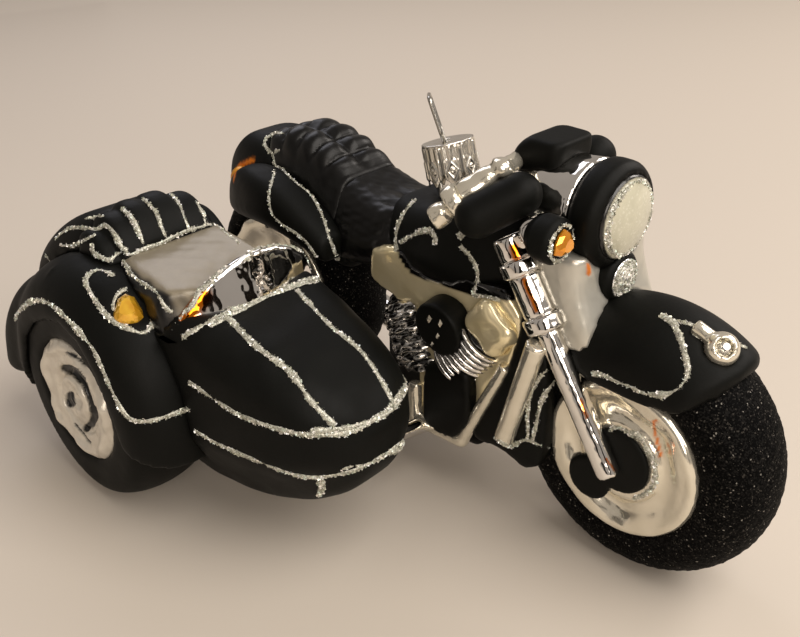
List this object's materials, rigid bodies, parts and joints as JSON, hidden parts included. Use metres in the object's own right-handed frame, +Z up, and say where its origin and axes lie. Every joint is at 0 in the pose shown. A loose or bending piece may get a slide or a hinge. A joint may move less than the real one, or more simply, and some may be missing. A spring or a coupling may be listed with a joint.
{
  "type": "blown-glass hanging ornament in the form of a sidecar motorcycle",
  "caption": "Silvered blown-glass tree ornament shaped as a touring motorcycle with a sidecar, black enamel and glitter lines, pull-off metal cap and wire loop.",
  "frame": {"origin": "on the surface it stands on, in the middle of the flat under the front tyre, on the motorcycle's middle plane", "axes": "+X ahead, the way the motorcycle points; +Y to the rider's left, away from the sidecar; +Z up"},
  "size_m": [0.1465, 0.0879, 0.0783],
  "materials": {
    "black_enamel": "matte black enamel on glass",
    "gloss_black": "gloss black lacquer on glass",
    "glitter_tyre": "black enamel with coarse black glitter",
    "silver_glass": "silvered blown glass",
    "gold_glass": "silvered glass, warm tint",
    "white_silver": "pearl silver-white paint",
    "pearl_lens": "pearl white paint with fine glitter",
    "silver_glitter": "coarse silver glitter",
    "amber_gem": "foiled amber rhinestone",
    "clear_gem": "foiled clear rhinestone",
    "amber_paint": "amber paint",
    "cap_metal": "stamped silver tin",
    "wire": "bright drawn wire"
  },
  "bodies": {
    "ornament": {"neck": "silver_glass", "front_tyre": "glitter_tyre", "front_wheel": "silver_glass", "brake_rotors": "black_enamel", "fender_stone": "clear_gem", "fender_lamp": "silver_glass", "front_fender": "black_enamel", "headlamp_lens": "pearl_lens", "headlamp_bezel": "black_enamel", "headlamp_bucket": "silver_glass", "fog_lens": "silver_glitter", "fog_cup": "black_enamel", "signal_gems": "amber_gem", "signal_cups": "black_enamel", "fork_legs": "silver_glass", "fork_collars": "silver_glass", "fork_covers": "silver_glass", "signal_stems": "silver_glass", "fork_panel": "silver_glass", "lever_guards": "black_enamel", "dash_console": "black_enamel", "handlebar": "silver_glass", "rider_seat": "gloss_black", "passenger_seat": "gloss_black", "fuel_tank": "black_enamel", "down_tubes": "silver_glass", "leg_shields": "black_enamel", "air_cleaner": "black_enamel", "exhausts": "silver_glass", "lower_block": "black_enamel", "front_cylinder": "gloss_black", "rear_cylinder": "silver_glass", "head_covers": "silver_glass", "tank_skirt": "gold_glass", "engine_block": "gloss_black", "belly_pan": "black_enamel", "rear_tyre": "glitter_tyre", "rear_wheel": "silver_glass", "mufflers": "silver_glass", "tail_lamps": "amber_paint", "saddlebags": "black_enamel", "rear_fender": "black_enamel", "sidecar_tyre": "black_enamel", "sidecar_wheel": "white_silver", "marker_gem": "amber_gem", "sidecar_fender": "black_enamel", "windscreen": "silver_glass", "seat_back": "gloss_black", "tonneau_cover": "white_silver", "sidecar_trunk": "black_enamel", "sidecar_hull": "black_enamel", "struts": "silver_glass"},
    "cap": {"cap": "cap_metal"},
    "hanger": {"hanger_wire": "wire"}
  },
  "joints": [
    {"name": "cap_pull", "type": "slide", "parent": "ornament", "child": "cap", "axis": [-0.2756, 0, 0.9613], "range_m": [0, 0.02]},
    {"name": "hanger_rock", "type": "hinge", "parent": "cap", "child": "hanger", "pos_m": [-0.05058, 0, 0.0673], "axis": [-0.6797, 0.7071, -0.1949], "range_deg": [0, 16]}
  ]
}
